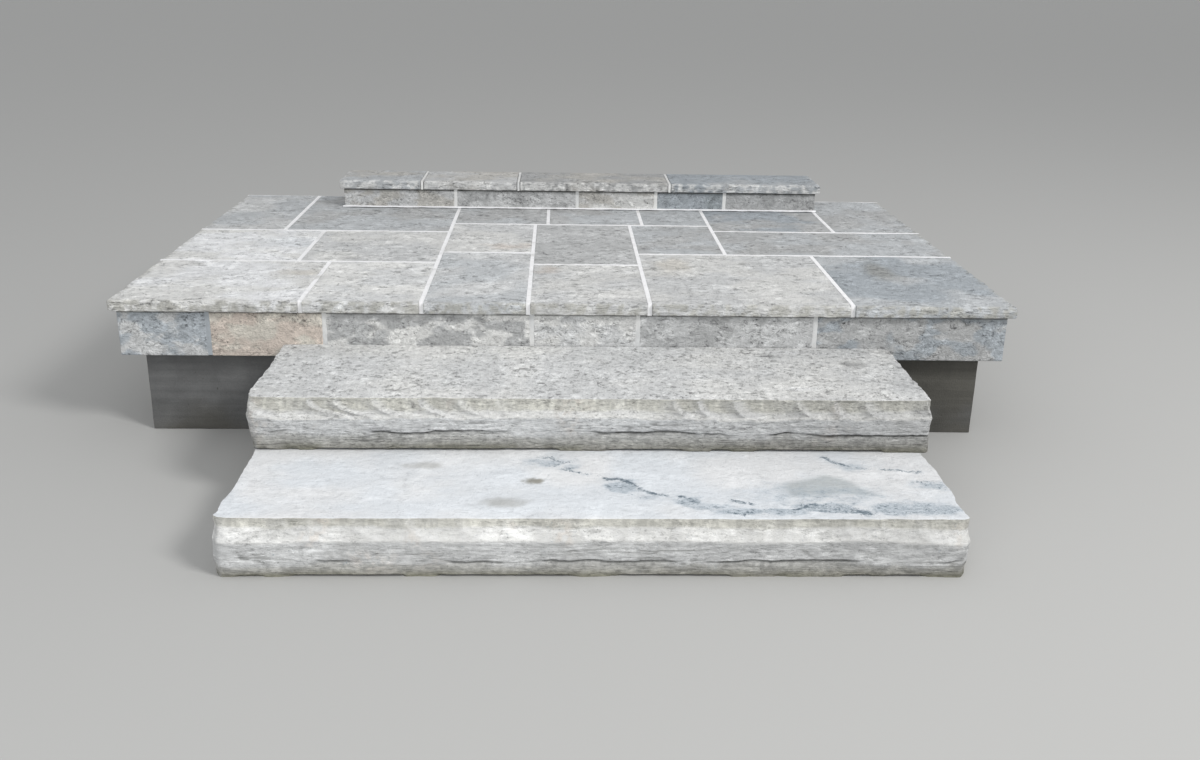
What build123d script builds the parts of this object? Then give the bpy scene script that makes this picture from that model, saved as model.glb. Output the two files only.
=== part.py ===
# Outdoor stone steps: two thick rock-faced slabs rise to a flagstone landing on a concrete
# foundation, and a low door step with a flagstone cap stands at the back of the landing.
# Millimetres, +Z up, the front faces -Y. The origin is on the ground, in the middle of the
# landing's width and of the whole depth.
from build123d import *
from math import atan2, ceil, cos, radians, sin
import os

os.makedirs("parts", exist_ok=True)

# Rises, from the ground up
lower_slab_height = 152
upper_slab_height = 149
landing_rise = 139
door_step_rise = 114

# Plan sizes
lower_slab_length = 1828
upper_slab_length = 1862
slab_depth = 481
slab_overlap = 52
landing_width = 2762
landing_body_depth = 1696
door_step_width = 1956
door_step_depth = 243
stair_offset = 64

# Rock face of the slabs
rock_bulge = 16
arris_setback = 14
face_unevenness = 7
end_bulge = 7
lower_slab_foot_inset = 6
upper_slab_foot_inset = 24
ridge_height = 100
lower_slab_crevice = 40
upper_slab_crevice = 58
crevice_depth = 10
crevice_height = 7
facet_length = 115
scallop_spacing = 116
scallop_radius = 160
scallop_depth = 3.5
scallop_length = 170
scallop_slant = 42
scallop_tilt = 4.5

# Paving
paving_thickness = 38
bed_thickness = 20
joint_width = 11
joint_recess = 3
edge_overhang = 28
cap_overhang = 25
worn_edge = 2
rough_edge = 9

# Facing stones of the risers
facing_thickness = 40
facing_mortar = 15
facing_sink = 41
facing_joint_recess = 5

# Concrete
porch_slab_thickness = 100
foundation_wall = 200
step_bed_inset = 40

# Paving joints that run front to back, as distances from the middle of the landing
far_left_joint = -1062
left_middle_joint = -911
left_front_joint = -803
left_joint = -441
centre_left_joint = -120
centre_back_joint = -71
centre_right_joint = 248
right_back_joint = 299
right_joint = 563
right_front_joint = 868
far_right_joint = 1039

# Paving joints that run left to right, as distances from the front of the edge stones
centre_front_course = 514
left_front_course = 528
right_front_course = 680
left_centre_course = 684
left_back_course = 1022
right_back_course = 1078
centre_back_course = 1174

# Joints between facing stones, as distances from the middle of the landing
riser_joints = (-1085, -736, -109, 214, 759)
# The same on the landing's ends, as distances from the front riser
side_riser_joints = (430, 840, 1290)
# Joints of the door step, as distances from its own middle
door_riser_joints = (-520, -17, 310, 597)
cap_joints = (-656, -260, 365)

# Levels
lower_top = lower_slab_height
upper_top = lower_top + upper_slab_height
landing_top = upper_top + landing_rise
door_step_top = landing_top + door_step_rise
paving_under = landing_top - paving_thickness
bed_under = paving_under - bed_thickness
porch_slab_under = bed_under - porch_slab_thickness
facing_under = upper_top - facing_sink
cap_under = door_step_top - paving_thickness

# The outer sides of the landing and of the door step
to_front = Axis((0, 0, 0), (0, -1, 0))
to_left = Axis((0, 0, 0), (-1, 0, 0))
to_right = Axis((0, 0, 0), (1, 0, 0))

# Places from front to back
total_depth = rock_bulge + 2 * slab_depth - slab_overlap + landing_body_depth
house_face = total_depth / 2
riser_face = house_face - landing_body_depth
upper_front = riser_face - slab_depth
lower_front = upper_front + slab_overlap - slab_depth
edge_front = riser_face - edge_overhang
facing_back = riser_face + facing_thickness
concrete_front = facing_back + facing_mortar
door_step_face = house_face - door_step_depth
door_core_front = door_step_face + facing_thickness
cap_front = door_step_face - cap_overhang

# Places from side to side
landing_end = landing_width / 2
side_face = landing_end - edge_overhang
side_facing_back = side_face - facing_thickness
concrete_end = side_facing_back - facing_mortar
door_step_left = stair_offset - door_step_width / 2
door_step_right = stair_offset + door_step_width / 2
cap_left = door_step_left - cap_overhang
cap_right = door_step_right + cap_overhang


def write_piece(part, name):
    """Label a finished piece and write its STEP file."""
    part.label = name
    export_step(part, f"parts/{name}.step")


def fill(left, right, front, back):
    """A rectangle between four lines, in the sketch that is being drawn."""
    with Locations(((left + right) / 2, (front + back) / 2)):
        Rectangle(right - left, back - front)


def block(left, right, front, back, bottom, top):
    """A plain block between six faces."""
    with BuildPart() as body:
        with BuildSketch(Plane.XY.offset(bottom)):
            fill(left, right, front, back)
        extrude(amount=top - bottom)
    return body.part


def rock_outline(height, crevice_level, station):
    """Front-to-back section of a slab at one station, from the foot of its pitched front."""
    sway = face_unevenness * (1 + sin(1.7 * station + 1)) / 2
    wander = face_unevenness * (1 + sin(2.4 * station)) / 2
    return [
        (slab_depth, 0),
        (sway, 0),
        (sway - rock_bulge / 2, crevice_level - crevice_height),
        (sway + crevice_depth - rock_bulge / 2, crevice_level),
        (wander - rock_bulge / 2, crevice_level + crevice_height),
        (wander - rock_bulge, ridge_height),
        (arris_setback - sway, height),
        (slab_depth, height),
    ]


def end_outline(length, height, crevice_level, foot_inset):
    """Left-to-right outline of a slab: each end bulges to a ridge below its top."""
    half_length = length / 2
    right_side = [
        (half_length - foot_inset, 0),
        (half_length - foot_inset / 2, crevice_level),
        (half_length, ridge_height),
        (half_length - end_bulge, height),
    ]
    left_side = [(-x, z) for x, z in reversed(right_side)]
    return right_side + left_side


def rock_faced_slab(length, height, crevice_level, foot_inset, first_station):
    """A thick step slab with a pitched front and ends, and a crevice along its bedding.

    Its foot stands at the origin, in the middle of its length.
    """
    half_count = ceil(length / facet_length / 2) + 1
    facet_height = height - ridge_height
    facet_lean = atan2(arris_setback + rock_bulge - face_unevenness, facet_height)
    facet_middle = Vector(0, (arris_setback - rock_bulge) / 2, height - facet_height / 2)
    outward = Vector(0, -cos(facet_lean), sin(facet_lean))
    down = Vector(0, -sin(facet_lean), -cos(facet_lean))
    slant = radians(scallop_slant)
    tilt = radians(scallop_tilt)
    along_face = down * cos(slant) + Vector(1, 0, 0) * sin(slant)
    stroke = along_face * cos(tilt) + outward * sin(tilt)
    half_strokes = int(length / scallop_spacing / 2)
    with BuildPart() as slab:
        for station in range(-half_count, half_count + 1):
            with BuildSketch(Plane.YZ.offset(station * facet_length)):
                with BuildLine():
                    outline = rock_outline(height, crevice_level, station + first_station)
                    Polyline(*outline, close=True)
                make_face()
        loft(ruled=True)
        # The pitching tool scoops the upper facet in slanting strokes
        for number in range(-half_strokes, half_strokes + 1):
            middle = facet_middle + Vector(number * scallop_spacing, 0, 0)
            axis_point = middle + outward * (scallop_radius - scallop_depth)
            with Locations(Plane(origin=axis_point, x_dir=(1, 0, 0), z_dir=stroke)):
                Cylinder(scallop_radius, scallop_length, mode=Mode.SUBTRACT)
        # The two ends are pitched too
        with BuildSketch(Plane.XZ):
            with BuildLine():
                outline = end_outline(length, height, crevice_level, foot_inset)
                Polyline(*outline, close=True)
            make_face()
        extrude(amount=2 * slab_depth, both=True, mode=Mode.INTERSECT)
    return slab.part


def flagstone(left, right, front, back, under, outer_sides):
    """A paving stone: rough rounded edges on its outer sides, the others slightly worn."""
    with BuildPart() as stone:
        with BuildSketch(Plane.XY.offset(under)):
            fill(left, right, front, back)
        extrude(amount=paving_thickness)
        if outer_sides:
            outer_edges = ShapeList()
            for side in outer_sides:
                outer_face = stone.faces().sort_by(side)[-1]
                outer_edges += outer_face.edges().filter_by(Axis.Z, reverse=True)
            fillet(outer_edges, rough_edge)
        inner_edges = stone.faces().sort_by(Axis.Z)[-1].edges()
        for side in outer_sides:
            inner_edges = inner_edges.sort_by(side)[:-1]
        chamfer(inner_edges, worn_edge)
    return stone.part


def raised_joints(left, right, front, back, under, stones):
    """The mortar between paving stones, a little below their tops and inside their edges."""
    with BuildPart() as ribs:
        with BuildSketch(Plane.XY.offset(under)):
            fill(left + joint_recess, right - joint_recess, front + joint_recess, back)
            for stone in stones:
                with Locations(((stone[0] + stone[1]) / 2, (stone[2] + stone[3]) / 2)):
                    Rectangle(stone[1] - stone[0], stone[3] - stone[2], mode=Mode.SUBTRACT)
        extrude(amount=paving_thickness - joint_recess)
    return ribs.part


def between_joints(lines):
    """The spans between joint lines, half a joint in from each line but the first and last."""
    half = joint_width / 2
    starts = [lines[0]] + [line + half for line in lines[1:-1]]
    ends = [line - half for line in lines[1:-1]] + [lines[-1]]
    return list(zip(starts, ends))


def facing_stone(left, right, front, back, bottom, top, outward):
    """A facing stone, with the edges of its outer face worn."""
    with BuildPart() as stone:
        with BuildSketch(Plane.XY.offset(bottom)):
            fill(left, right, front, back)
        extrude(amount=top - bottom)
        chamfer(stone.faces().sort_by(outward)[-1].edges(), worn_edge)
    return stone.part


# The two slab steps: the upper one sits on the back of the lower one
with BuildPart() as lower_slab:
    with Locations((stair_offset, lower_front, 0)):
        add(
            rock_faced_slab(
                lower_slab_length, lower_slab_height, lower_slab_crevice, lower_slab_foot_inset, 0
            )
        )
write_piece(lower_slab.part, "lower_slab")

with BuildPart() as upper_slab:
    with Locations((stair_offset, upper_front, lower_top)):
        add(
            rock_faced_slab(
                upper_slab_length, upper_slab_height, upper_slab_crevice, upper_slab_foot_inset, 5
            )
        )
write_piece(upper_slab.part, "upper_slab")

# The concrete bed behind the lower slab carries the upper one and the facing stones behind it
with BuildPart() as step_bed:
    with BuildSketch(Plane.YZ.offset(stair_offset)):
        with BuildLine():
            Polyline(
                (lower_front + slab_depth, 0),
                (concrete_front, 0),
                (concrete_front, facing_under),
                (riser_face, facing_under),
                (riser_face, lower_top),
                (lower_front + slab_depth, lower_top),
                close=True,
            )
        make_face()
    extrude(amount=lower_slab_length / 2 - step_bed_inset, both=True)
write_piece(step_bed.part, "step_bed")

# The landing's foundation: a wall under each edge, and the porch slab on top of them
front_wall_back = concrete_front + foundation_wall
back_wall_front = house_face - foundation_wall
write_piece(
    block(-concrete_end, concrete_end, concrete_front, front_wall_back, 0, porch_slab_under),
    "foundation_front",
)
write_piece(
    block(-concrete_end, concrete_end, back_wall_front, house_face, 0, porch_slab_under),
    "foundation_back",
)
wall_inside = concrete_end - foundation_wall
with BuildPart() as foundation_sides:
    with BuildSketch():
        fill(-concrete_end, -wall_inside, front_wall_back, back_wall_front)
        fill(wall_inside, concrete_end, front_wall_back, back_wall_front)
    extrude(amount=porch_slab_under)
write_piece(foundation_sides.part, "foundation_sides")
write_piece(
    block(-concrete_end, concrete_end, concrete_front, house_face, porch_slab_under, bed_under),
    "porch_slab",
)

# Joint lines of the paving from front to back
centre_front_line = edge_front + centre_front_course
left_front_line = edge_front + left_front_course
right_front_line = edge_front + right_front_course
left_centre_line = edge_front + left_centre_course
left_back_line = edge_front + left_back_course
right_back_line = edge_front + right_back_course
centre_back_line = edge_front + centre_back_course

# Each paving stone between its left, right, front and back joint lines
edge_stones = [
    (-landing_end, left_front_joint, edge_front, left_front_line),
    (left_front_joint, left_joint, edge_front, left_front_line),
    (left_joint, centre_left_joint, edge_front, left_centre_line),
    (centre_left_joint, centre_right_joint, edge_front, centre_front_line),
    (centre_right_joint, right_front_joint, edge_front, right_front_line),
    (right_front_joint, landing_end, edge_front, right_front_line),
]
middle_stones = [
    (-landing_end, left_middle_joint, left_front_line, left_back_line),
    (left_middle_joint, left_joint, left_front_line, left_back_line),
    (left_joint, centre_left_joint, left_centre_line, centre_back_line),
    (centre_left_joint, centre_right_joint, centre_front_line, centre_back_line),
    (centre_right_joint, right_joint, right_front_line, centre_back_line),
    (right_joint, landing_end, right_front_line, right_back_line),
]
back_stones = [
    (-landing_end, far_left_joint, left_back_line, house_face),
    (far_left_joint, left_joint, left_back_line, house_face),
    (left_joint, centre_back_joint, centre_back_line, house_face),
    (centre_back_joint, right_back_joint, centre_back_line, house_face),
    (right_back_joint, right_joint, centre_back_line, house_face),
    (right_joint, far_right_joint, right_back_line, house_face),
    (far_right_joint, landing_end, right_back_line, house_face),
]


def within_joints(left, right, front, back):
    """The faces of a paving stone: half a joint inside its joint lines, flush at the edges."""
    half = joint_width / 2
    return (
        left if left == -landing_end else left + half,
        right if right == landing_end else right - half,
        front if front == edge_front else front + half,
        back if back == house_face else back - half,
    )


def outer_sides(left, right, front):
    """The sides on which a stone of the landing or the door step overhangs its facing stones."""
    sides = []
    if front in (edge_front, cap_front):
        sides.append(to_front)
    if left in (-landing_end, cap_left):
        sides.append(to_left)
    if right in (landing_end, cap_right):
        sides.append(to_right)
    return sides


paving = []
for row_name, row in (
    ("edge_stone", edge_stones),
    ("middle_stone", middle_stones),
    ("back_stone", back_stones),
):
    for number, (left, right, front, back) in enumerate(row, start=1):
        stone_faces = within_joints(left, right, front, back)
        paving.append(stone_faces)
        stone = flagstone(*stone_faces, paving_under, outer_sides(left, right, front))
        write_piece(stone, f"{row_name}_{number}")

# The mortar bed lies inside the facing stones, and its joints run up between the flagstones
with BuildPart() as mortar_bed:
    add(block(-side_facing_back, side_facing_back, facing_back, house_face, bed_under, paving_under))
    add(raised_joints(-landing_end, landing_end, edge_front, house_face, paving_under, paving))
write_piece(mortar_bed.part, "mortar_bed")

# The facing stones under the paving's edge, on the front and on the two ends
front_facing = between_joints((-side_face, *riser_joints, side_face))
for number, (left, right) in enumerate(front_facing, start=1):
    stone = facing_stone(left, right, riser_face, facing_back, facing_under, paving_under, to_front)
    write_piece(stone, f"riser_stone_{number}")

side_lines = [riser_face + distance for distance in side_riser_joints]
side_facing = between_joints((facing_back + joint_width, *side_lines, house_face))
for side, outward, left, right in (
    ("left", to_left, -side_face, -side_facing_back),
    ("right", to_right, side_facing_back, side_face),
):
    with BuildPart() as side_risers:
        for front, back in side_facing:
            add(facing_stone(left, right, front, back, facing_under, paving_under, outward))
    write_piece(side_risers.part, f"side_risers_{side}")

# The mortar behind the facing stones, and between them a little inside their faces
with BuildPart() as riser_mortar:
    with BuildSketch(Plane.XY.offset(facing_under)):
        fill(-side_facing_back, side_facing_back, facing_back, house_face)
        with Locations((0, (concrete_front + house_face) / 2)):
            Rectangle(2 * concrete_end, house_face - concrete_front, mode=Mode.SUBTRACT)
    extrude(amount=bed_under - facing_under)
    with BuildSketch(Plane.XY.offset(facing_under)):
        for (_, left), (right, _) in zip(front_facing, front_facing[1:]):
            fill(left, right, riser_face + facing_joint_recess, facing_back)
        first_gap = [(riser_face, facing_back)]
        for (_, front), (back, _) in zip(first_gap + side_facing, side_facing):
            fill(-side_face + facing_joint_recess, -side_facing_back, front, back)
            fill(side_facing_back, side_face - facing_joint_recess, front, back)
    extrude(amount=paving_under - facing_under)
write_piece(riser_mortar.part, "riser_mortar")

# The door step: facing stones round a mortared core, and cap stones that overhang them
door_facing_lines = [stair_offset + joint for joint in door_riser_joints]
door_facing = between_joints((door_step_left, *door_facing_lines, door_step_right))
for number, (left, right) in enumerate(door_facing, start=1):
    stone = facing_stone(
        left, right, door_step_face, door_core_front, landing_top, cap_under, to_front
    )
    write_piece(stone, f"door_step_riser_{number}")

with BuildPart() as door_step_ends:
    for outward, left, right in (
        (to_left, door_step_left, door_step_left + facing_thickness),
        (to_right, door_step_right - facing_thickness, door_step_right),
    ):
        front = door_core_front + joint_width
        add(facing_stone(left, right, front, house_face, landing_top, cap_under, outward))
write_piece(door_step_ends.part, "door_step_ends")

cap_lines = [stair_offset + joint for joint in cap_joints]
caps = []
for number, (left, right) in enumerate(between_joints((cap_left, *cap_lines, cap_right)), start=1):
    caps.append((left, right, cap_front, house_face))
    stone = flagstone(*caps[-1], cap_under, outer_sides(left, right, cap_front))
    write_piece(stone, f"cap_stone_{number}")

with BuildPart() as door_step_core:
    core_left = door_step_left + facing_thickness
    core_right = door_step_right - facing_thickness
    with BuildSketch(Plane.XY.offset(landing_top)):
        fill(core_left, core_right, door_core_front, house_face)
        for (_, left), (right, _) in zip(door_facing, door_facing[1:]):
            fill(left, right, door_step_face + facing_joint_recess, door_core_front)
        corner_back = door_core_front + joint_width
        fill(door_step_left + facing_joint_recess, core_left, door_core_front, corner_back)
        fill(core_right, door_step_right - facing_joint_recess, door_core_front, corner_back)
    extrude(amount=cap_under - landing_top)
    add(raised_joints(cap_left, cap_right, cap_front, house_face, cap_under, caps))
write_piece(door_step_core.part, "door_step_core")
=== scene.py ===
from itertools import product
from math import radians

import bpy
import numpy as np
from mathutils import Matrix, Vector


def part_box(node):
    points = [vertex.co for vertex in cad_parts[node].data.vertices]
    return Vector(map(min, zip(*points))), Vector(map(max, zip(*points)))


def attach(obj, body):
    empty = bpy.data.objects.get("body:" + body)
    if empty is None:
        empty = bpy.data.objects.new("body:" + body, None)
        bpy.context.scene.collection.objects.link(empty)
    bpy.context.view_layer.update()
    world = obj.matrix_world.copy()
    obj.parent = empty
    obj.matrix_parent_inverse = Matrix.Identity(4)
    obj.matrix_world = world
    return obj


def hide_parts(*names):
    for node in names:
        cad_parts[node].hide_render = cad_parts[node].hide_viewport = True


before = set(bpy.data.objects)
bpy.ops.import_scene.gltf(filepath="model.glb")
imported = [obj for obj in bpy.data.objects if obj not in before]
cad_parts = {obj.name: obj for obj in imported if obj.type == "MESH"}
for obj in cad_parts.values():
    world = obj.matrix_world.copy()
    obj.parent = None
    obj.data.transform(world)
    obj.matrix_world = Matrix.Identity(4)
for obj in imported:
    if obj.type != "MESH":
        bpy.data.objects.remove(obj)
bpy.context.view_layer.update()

# Shapes are worked out in millimetres, and Blender gets them in metres. X runs to the right along
# the steps, Y runs back to the house, Z is up. A side of a box is its axis and 0 for the low or -1
# for the high end of it.
MM = 0.001
X, Y, Z = 0, 1, 2
SIDES = tuple(product((X, Y, Z), (0, -1)))
LEFT, RIGHT, FRONT, BACK, BOTTOM, TOP = SIDES

# Grid steps of the modelled surfaces
SLAB_STEP = 3.7
SLAB_TOP_STEP = 6
SLAB_RISE_STEP = 2.3
PAVING_STEP = 9
EDGE_STONE_STEP = 6
PAVING_RISE_STEP = 12
FACING_STEP = 4.5
SIDE_FACING_STEP = 10
FACING_DEPTH_STEP = 10
MORTAR_STEP = 8
JOINT_STEP = 6
BED_STEP = 60
CONCRETE_STEP = 24
HIDDEN_STEP = 90
# Extra grid lines at these distances from an edge, so that the edge can be rounded
EDGE_LINES = np.array((0, 1, 2.4, 4.2, 6.5, 9.5))
# Edges that bend by more than this many degrees show as creases
CREASE_ANGLE = 55

# Rock face of the slab steps, measured inwards from the ridge
RIDGE_LEVEL = 100
RIDGE_WANDER = 8
ARRIS_RECESS = 27
FOOT_RECESS = 15
MID_RECESS = 6
CREVICE_DEPTH = 11
CREVICE_HALF_HEIGHT = 3
SCOOP_SPACING = 122
SCOOP_DRIFT = 88
FOOT_GAP_DEPTH = 13
CORNER_DEPTH = 22
END_RECESS = 6
END_FREEDOM = 14
# How far below a surface its roughness fades out: a slab's front, ends and top, the sides and the
# top of paving, and the face of facing stones
FRONT_FADE = 110
END_FADE = 130
TOP_FADE = 30
PAVING_FADE = 40
PAVING_TOP_FADE = 20
FACING_FADE = 30

# Stones, mortar and concrete
CLEFT = 2.2
ROUGH_EDGE_WIDTH = 34
ROUGH_EDGE_DEPTH = 12
SPLIT_DEPTH = 3.6
JOINT_WIDTH = 11
JOINT_DEPTH = 0.9
FACING_JOINT_DEPTH = 2.5
CAP_JOINT_RECESS = 8
# How far the mortar reaches into the stones beside it
PAVING_TUCK = 1.2
FACING_TUCK = 3
CAP_TUCK = 0.5
FACING_THICKNESS = 40
FACING_MORTAR = 15
MORTAR_RELIEF = 1.4
BED_THICKNESS = 20
BED_INSET = 7
FOOT_FILLET = 9
FOUNDATION_WALL = 200
# Joints between the side risers, as distances from the front of the landing's risers
SIDE_JOINTS = np.array((430, 840, 1290))

# Numbers behind the random fields
LATTICE_SIZE = 48
LATTICE = np.random.default_rng(11).random((LATTICE_SIZE,) * 3)


def box(node):
    """The low and the high corner of a node's box."""
    return [np.array(corner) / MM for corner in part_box(node)]


# Random fields

def smooth_noise(points, size, shift):
    """A smooth random field between 0 and 1 with lumps of about the given size."""
    place = points / size + shift
    corner = np.floor(place).astype(int)
    along = place - corner
    along = along * along * (3 - 2 * along)
    total = np.zeros(len(points))
    for step in product((0, 1), repeat=3):
        weight = np.prod(np.where(step, along, 1 - along), axis=1)
        cell = (corner + step) % LATTICE_SIZE
        total += weight * LATTICE[cell[:, X], cell[:, Y], cell[:, Z]]
    return total


def noise(points, size, octaves, shift):
    """A random field between 0 and 1 with detail at several scales, each half the one before."""
    shares = 0.5 ** np.arange(octaves)
    fields = [share * smooth_noise(points, size * share, shift + 5.3 * octave)
              for octave, share in enumerate(shares)]
    return sum(fields) / sum(shares)


def ridges(points, size, octaves, shift):
    """A random field between 0 and 1 that peaks along thin winding lines."""
    return 1 - np.abs(2 * noise(points, size, octaves, shift) - 1)


def wobbled(points, size, reach, shifts):
    """The points' places in plan, each moved at random by up to half the given reach."""
    moves = [noise(points, size, 4, shift) - 0.5 for shift in shifts]
    return points[:, :Z] + reach * np.stack(moves, axis=1)


def ramp(value, start, end):
    """Rise smoothly from 0 at start to 1 at end."""
    share = np.clip((value - start) / (end - start), 0, 1)
    return share * share * (3 - 2 * share)


# Meshes. A shell is its points, its four-sided faces and its faces with more corners.

def grid_lines(low, high, step, fine_low=True, fine_high=True):
    """Evenly spaced grid lines, with closer ones near the ends that are asked for."""
    near_low = low + EDGE_LINES * fine_low
    near_high = high - EDGE_LINES * fine_high
    count = max(2, round((near_high[-1] - near_low[-1]) / step) + 1)
    return np.unique((*near_low, *near_high, *np.linspace(near_low[-1], near_high[-1], count)))


def box_shell(lines, flat_sides=()):
    """The shell of a box on grid lines; a flat side is a single face."""
    used = np.zeros([len(values) for values in lines], bool)
    for axis, end in SIDES:
        side = np.moveaxis(used, axis, 0)[end]
        side[[0, -1]] = side[:, [0, -1]] = True
        if (axis, end) not in flat_sides:
            side[:] = True
    index = np.full(used.shape, -1)
    index[used] = np.arange(used.sum())
    quads = []
    polygons = []
    for axis, end in SIDES:
        plane = np.moveaxis(index, axis, 0)[end]
        outward = plane.T if (axis == Y) != (end == 0) else plane
        if (axis, end) in flat_sides:
            border = (outward[:-1, 0], outward[-1, :-1], outward[:0:-1, -1], outward[0, :0:-1])
            polygons.append(np.concatenate(border))
        else:
            corners = (outward[:-1, :-1], outward[1:, :-1], outward[1:, 1:], outward[:-1, 1:])
            quads.append(np.stack(corners, axis=-1).reshape(-1, 4))
    cells = np.argwhere(used)
    points = np.stack([lines[axis][cells[:, axis]] for axis in range(3)], axis=1)
    return points, np.concatenate(quads), polygons


def merged(shells):
    """Several shells as one."""
    points, quads, polygons = zip(*shells)
    starts = np.cumsum((0, *map(len, points[:-1])))
    quads = [part + start for part, start in zip(quads, starts)]
    polygons = [polygon + start for part, start in zip(polygons, starts) for polygon in part]
    return np.concatenate(points), np.concatenate(quads), polygons


def add_object(name, data):
    """A new object in the scene."""
    thing = bpy.data.objects.new(name, data)
    bpy.context.scene.collection.objects.link(thing)
    return thing


def place_piece(name, node, shell, slot, material, tint, seed=0.0, **values):
    """Make the piece that replaces a node, from a shell and its colours.

    seed shifts it through the stone's pattern, and values are more numbers for the material, one
    for the whole piece or one for each point.
    """
    points, quads, polygons = shell
    mesh = bpy.data.meshes.new(name)
    mesh.from_pydata((points * MM).tolist(), [], [*quads.tolist(), *polygons], shade_flat=False)
    mesh.set_sharp_from_angle(angle=radians(CREASE_ANGLE))
    for label, numbers in values.items():
        numbers = np.array(np.broadcast_to(numbers, len(points)), np.float32)
        mesh.attributes.new(label, "FLOAT", "POINT").data.foreach_set("value", numbers)
    offset = np.broadcast_to(seed * np.array((1.7, 0.9, 1.3)), points.shape)
    for label, colours in (("tint", tint), ("offset", offset)):
        colours = np.column_stack((colours, np.ones(len(points)))).astype(np.float32)
        layer = mesh.attributes.new(label, "FLOAT_COLOR", "POINT")
        layer.data.foreach_set("color", colours.ravel())
    mesh.materials.append(material)
    piece = add_object(name, mesh)
    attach(piece, "root")
    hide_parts(node)


# Shader helpers

class Value:
    """A node's output, which can be added and multiplied like a number."""

    def __init__(self, shader, socket):
        self.shader = shader
        self.socket = socket

    def __add__(self, other):
        return self.shader.math("ADD", self, other)

    def __sub__(self, other):
        return self.shader.math("SUBTRACT", self, other)

    def __mul__(self, other):
        return self.shader.math("MULTIPLY", self, other)

    __radd__ = __add__
    __rmul__ = __mul__


class Shader:
    """A material under construction, with short ways to add and join its nodes."""

    def __init__(self, name):
        self.material = bpy.data.materials.new(name)
        self.material.use_nodes = True
        self.surface = self.material.node_tree.nodes["Principled BSDF"]
        self.place = self.add("TexCoord", "Object")

    def add(self, kind, output, inputs=None, **settings):
        """Add a node with its inputs and settings, and return one of its outputs."""
        node = self.material.node_tree.nodes.new("ShaderNode" + kind)
        for key, value in settings.items():
            setattr(node, key, value)
        for key, value in (inputs or {}).items():
            self.feed(node.inputs[key], value)
        return Value(self, node.outputs[output])

    def feed(self, socket, value):
        """Link a socket to another node's output, or set it to a number or a colour."""
        if isinstance(value, Value):
            self.material.node_tree.links.new(value.socket, socket)
        elif isinstance(value, np.ndarray):
            socket.default_value = (*value, 1)
        else:
            socket.default_value = value

    def noise(self, stretch, detail, roughness, distortion=0.0, scale=1.0, offset=None):
        """A noise texture over the object, stretched by axis, then shifted, then scaled."""
        place = self.add("VectorMath", 0, {0: self.place, 1: stretch}, operation="MULTIPLY")
        if offset:
            place = self.add("VectorMath", 0, {0: place, 1: offset}, operation="ADD")
        return self.add("TexNoise", "Fac", {"Vector": place, "Scale": scale, "Detail": detail,
                                            "Roughness": roughness, "Distortion": distortion})

    def math(self, operation, first, second=0.0):
        """A math node's value."""
        return self.add("Math", 0, {0: first, 1: second}, operation=operation)

    def spread(self, value, start, end, low=0.0, high=1.0):
        """Map a value smoothly from the range start to end onto the range low to high."""
        inputs = dict(enumerate((value, start, end, low, high)))
        return self.add("MapRange", 0, inputs, interpolation_type="SMOOTHSTEP")

    def mix(self, share, first, second, blend="MIX"):
        """A mix of two colours, which are the mix node's inputs 6 and 7 and its output 2."""
        inputs = {0: share, 6: first, 7: second}
        return self.add("Mix", 2, inputs, data_type="RGBA", blend_type=blend)

    def attribute(self, name, output="Fac"):
        """A value or colour stored on the mesh."""
        return self.add("Attribute", output, attribute_name=name)

    def tinted(self, lightness):
        """The mesh's own colour times a lightness."""
        grey = self.add("CombineColor", 0, dict.fromkeys(range(3), lightness))
        return self.mix(1.0, self.attribute("tint", "Color"), grey, "MULTIPLY")

    def finish(self, colour, roughness, relief, depth):
        """Join the colour, the roughness and the fine relief to the surface."""
        normal = self.add("Bump", "Normal", {"Strength": 1.0, "Distance": depth, "Height": relief})
        for label, value in (("Base Color", colour), ("Roughness", roughness),
                             ("Specular IOR Level", 0.3), ("Normal", normal)):
            self.feed(self.surface.inputs[label], value)
        return self.material


# Colours, as the 0 to 255 values that a paint program shows

def shade(red, green, blue):
    """A colour as the linear values that Blender works with."""
    value = np.array((red, green, blue)) / 255
    return np.where(value <= 0.04045, value / 12.92, ((value + 0.055) / 1.055) ** 2.4)


WHITE_STONE = shade(223, 224, 225)
PALE_STONE = shade(213, 213, 211)
PALE_GREY = shade(201, 202, 202)
WARM_GREY = shade(192, 190, 185)
COOL_GREY = shade(187, 190, 192)
MID_GREY = shade(179, 180, 180)
BLUE_GREY = shade(165, 171, 176)
SLATE = shade(140, 146, 149)
BEIGE = shade(200, 195, 185)
PINK_BEIGE = shade(198, 187, 177)
OLIVE_GREY = shade(180, 179, 171)
BROWN_GREY = shade(151, 149, 141)
MOSS = shade(126, 125, 110)
# Dark grey for thin bedding lines, and for painted shade in crevices, gaps and air holes
DARK_GREY = shade(92, 92, 88)
COOL_WHITE = shade(219, 223, 227)
SOFT_WHITE = shade(225, 226, 227)
PALE_BLUE = shade(178, 190, 200)
VEIN_BLUE = shade(142, 154, 163)
DARK_BLUE = shade(100, 113, 123)
STAIN_GREY = shade(176, 181, 182)
LIME = shade(242, 242, 243)
FLOOR_GREY = shade(186, 186, 184)
# How light each kind of piece is beside its colours
PAVING_LIGHTNESS = 1.04
FACING_LIGHTNESS = 0.92
# The concrete is this dark partly as painted shade under the coping's overhang
CONCRETE_LIGHTNESS = 0.3


def clouded(points, first, second, seed, lump, low=0.36, high=0.64):
    """Two colours that drift into each other in clouds of about the given size or sizes."""
    share = ramp(noise(points / np.array(lump), 1.0, 4, seed), low, high)
    return first + share[:, None] * (second - first)


def stain(colours, share, colour):
    """Blend a colour over the ones so far, by a share for each point."""
    return colours + share[:, None] * (colour - colours)


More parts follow.
